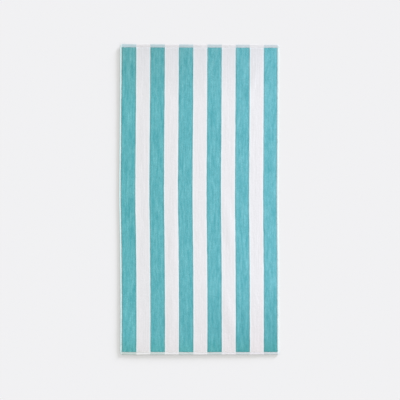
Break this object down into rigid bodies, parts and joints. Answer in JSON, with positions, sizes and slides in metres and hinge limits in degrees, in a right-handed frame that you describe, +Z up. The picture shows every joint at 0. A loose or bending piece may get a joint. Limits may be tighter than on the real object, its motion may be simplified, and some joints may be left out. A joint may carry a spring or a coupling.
{
  "type": "beach towel",
  "caption": "Rectangular cotton terry beach towel with broad lengthwise stripes and flat sewn hems, laid out flat for lying on or drying with.",
  "frame": {"origin": "middle of the towel's outline, on the surface it lies on", "axes": "+Z up out of the pile, +Y along the stripes towards the head end, +X across the stripes towards the picture's right"},
  "size_m": [0.9042, 1.7565, 0.009],
  "materials": {
    "terry": "matte cotton terry in broad blue-green and white lengthwise stripes",
    "hem_thread": "matte white cotton sewing thread along the hems"
  },
  "bodies": {
    "root": {"towel_cloth": "terry"}
  },
  "joints": []
}
